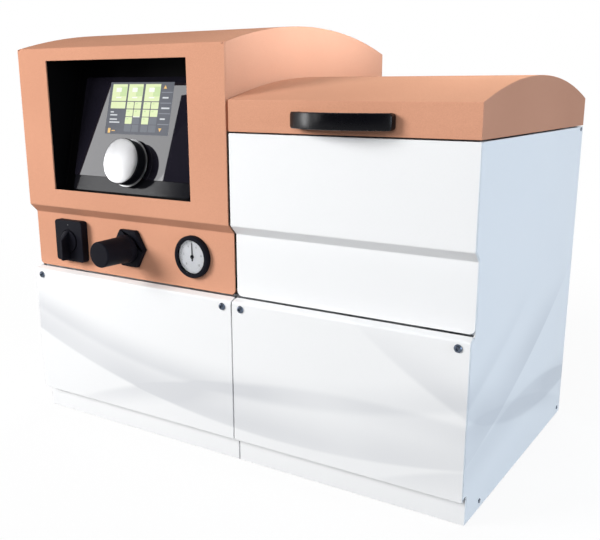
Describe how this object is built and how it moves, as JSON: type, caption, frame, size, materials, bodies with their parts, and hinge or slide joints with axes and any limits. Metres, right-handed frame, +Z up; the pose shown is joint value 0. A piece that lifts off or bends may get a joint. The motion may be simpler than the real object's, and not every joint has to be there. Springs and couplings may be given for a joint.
{
  "type": "hot melt glue unit",
  "caption": "Bench hot melt glue unit: arched control tower with leaning operator panel, switch, regulator and gauge beside a lidded melt tank with an air driven pump.",
  "frame": {"origin": "middle of the base plate's floor bolt holes, on the floor", "axes": "+X to the right seen from the front, +Y to the rear, +Z up"},
  "size_m": [0.6016, 0.419, 0.495],
  "materials": {
    "white_paint": "satin powder coat",
    "copper_paint": "satin metallic powder coat",
    "black_paint": "fine textured matt",
    "black_glass": "polished glass front",
    "screen": "lit display",
    "black_plastic": "moulded, light sheen",
    "bright_trim": "spun and anodised",
    "zinc_sheet": "zinc plated sheet",
    "steel": "machined",
    "cast_aluminium": "as cast with machined faces",
    "dark_screw": "black oxide",
    "dial_white": "printed",
    "clear_lens": "clear",
    "silicone": "moulded",
    "mineral_board": "pressed mineral board",
    "circuit_board": "solder mask",
    "nickel_fitting": "nickel plated brass",
    "grey_plastic": "moulded"
  },
  "bodies": {
    "cabinet": {"left_plinth": "white_paint", "right_plinth": "white_paint", "left_side_panel": "white_paint", "right_side_panel": "white_paint", "rear_panel": "white_paint", "tank_front_panel": "white_paint", "tower_front_panel": "copper_paint", "tower_hood": "copper_paint", "recess_box": "black_paint", "operator_panel": "black_paint", "gauge_bezel": "black_paint", "gauge_case": "black_paint", "operator_glass": "black_glass", "display_screen": "screen", "switch_plate": "black_plastic", "switch_body": "black_plastic", "regulator_nut": "black_plastic", "rear_sockets": "black_plastic", "base_plate": "zinc_sheet", "bulkhead": "zinc_sheet", "front_rail": "zinc_sheet", "electronics_plate": "zinc_sheet", "hinge_pins": "steel", "cabinet_hinge_leaves": "steel", "tank_posts": "steel", "pump_tie_rods": "steel", "heater_cartridges": "steel", "port_bushes": "steel", "filter_plug": "steel", "tank_collar": "steel", "melt_tank": "cast_aluminium", "manifold_block": "cast_aluminium", "air_cylinder": "cast_aluminium", "pump_body": "cast_aluminium", "regulator_body": "cast_aluminium", "side_screws": "dark_screw", "gauge_dial": "dial_white", "gauge_lens": "clear_lens", "tank_insulation": "mineral_board", "power_board": "circuit_board", "rear_entries": "nickel_fitting", "encoder_body": "grey_plastic"},
    "lid": {"lid_shell": "copper_paint", "lid_liner": "steel", "lid_seal": "silicone", "lid_handle": "black_plastic", "lid_hinge_leaves": "steel"},
    "switch_lever": {"switch_knob": "black_plastic"},
    "regulator_spindle": {"regulator_spindle": "steel"},
    "regulator_knob": {"regulator_knob": "black_plastic"},
    "gauge_pointer": {"gauge_pointer": "black_plastic"},
    "encoder_plunger": {"encoder_plunger": "grey_plastic"},
    "encoder_knob": {"encoder_shaft": "steel", "knob_body": "black_plastic", "knob_trim": "bright_trim"},
    "left_panel": {"left_lower_panel": "white_paint", "left_panel_screws": "dark_screw"},
    "right_panel": {"right_lower_panel": "white_paint", "right_panel_screws": "dark_screw"},
    "pump_piston": {"pump_rod": "steel"}
  },
  "joints": [
    {"name": "lid_hinge", "type": "hinge", "parent": "cabinet", "child": "lid", "pos_m": [0.16175, 0.1793, 0.38], "axis": [-1, 0, 0], "range_deg": [0, 95]},
    {"name": "switch_turn", "type": "hinge", "parent": "cabinet", "child": "switch_lever", "pos_m": [-0.2325, -0.185, 0.238], "axis": [0, 1, 0], "range_deg": [0, 90]},
    {"name": "regulator_turn", "type": "hinge", "parent": "cabinet", "child": "regulator_spindle", "pos_m": [-0.135, -0.185, 0.238], "axis": [0, 1, 0], "range_deg": [-720, 720]},
    {"name": "regulator_pull", "type": "slide", "parent": "regulator_spindle", "child": "regulator_knob", "axis": [0, -1, 0], "range_m": [0, 0.003]},
    {"name": "gauge_pointer_turn", "type": "hinge", "parent": "cabinet", "child": "gauge_pointer", "pos_m": [-0.0375, -0.178, 0.238], "axis": [0, 1, 0], "range_deg": [-135, 135]},
    {"name": "encoder_push", "type": "slide", "parent": "cabinet", "child": "encoder_plunger", "axis": [0, 0.9659, -0.2588], "range_m": [0, 0.001], "stiffness_N_per_m": 2500, "springref_m": -0.0006},
    {"name": "encoder_turn", "type": "hinge", "parent": "encoder_plunger", "child": "encoder_knob", "pos_m": [-0.1422, -0.15998, 0.33677], "axis": [0, 0.9659, -0.2588], "continuous": true},
    {"name": "left_panel_tilt", "type": "hinge", "parent": "cabinet", "child": "left_panel", "pos_m": [-0.139, -0.172, 0.031], "axis": [1, 0, 0], "range_deg": [0, 25]},
    {"name": "right_panel_tilt", "type": "hinge", "parent": "cabinet", "child": "right_panel", "pos_m": [0.161, -0.172, 0.031], "axis": [1, 0, 0], "range_deg": [0, 25]},
    {"name": "pump_stroke", "type": "slide", "parent": "cabinet", "child": "pump_piston", "axis": [0, 0, 1], "range_m": [0, 0.04]}
  ]
}
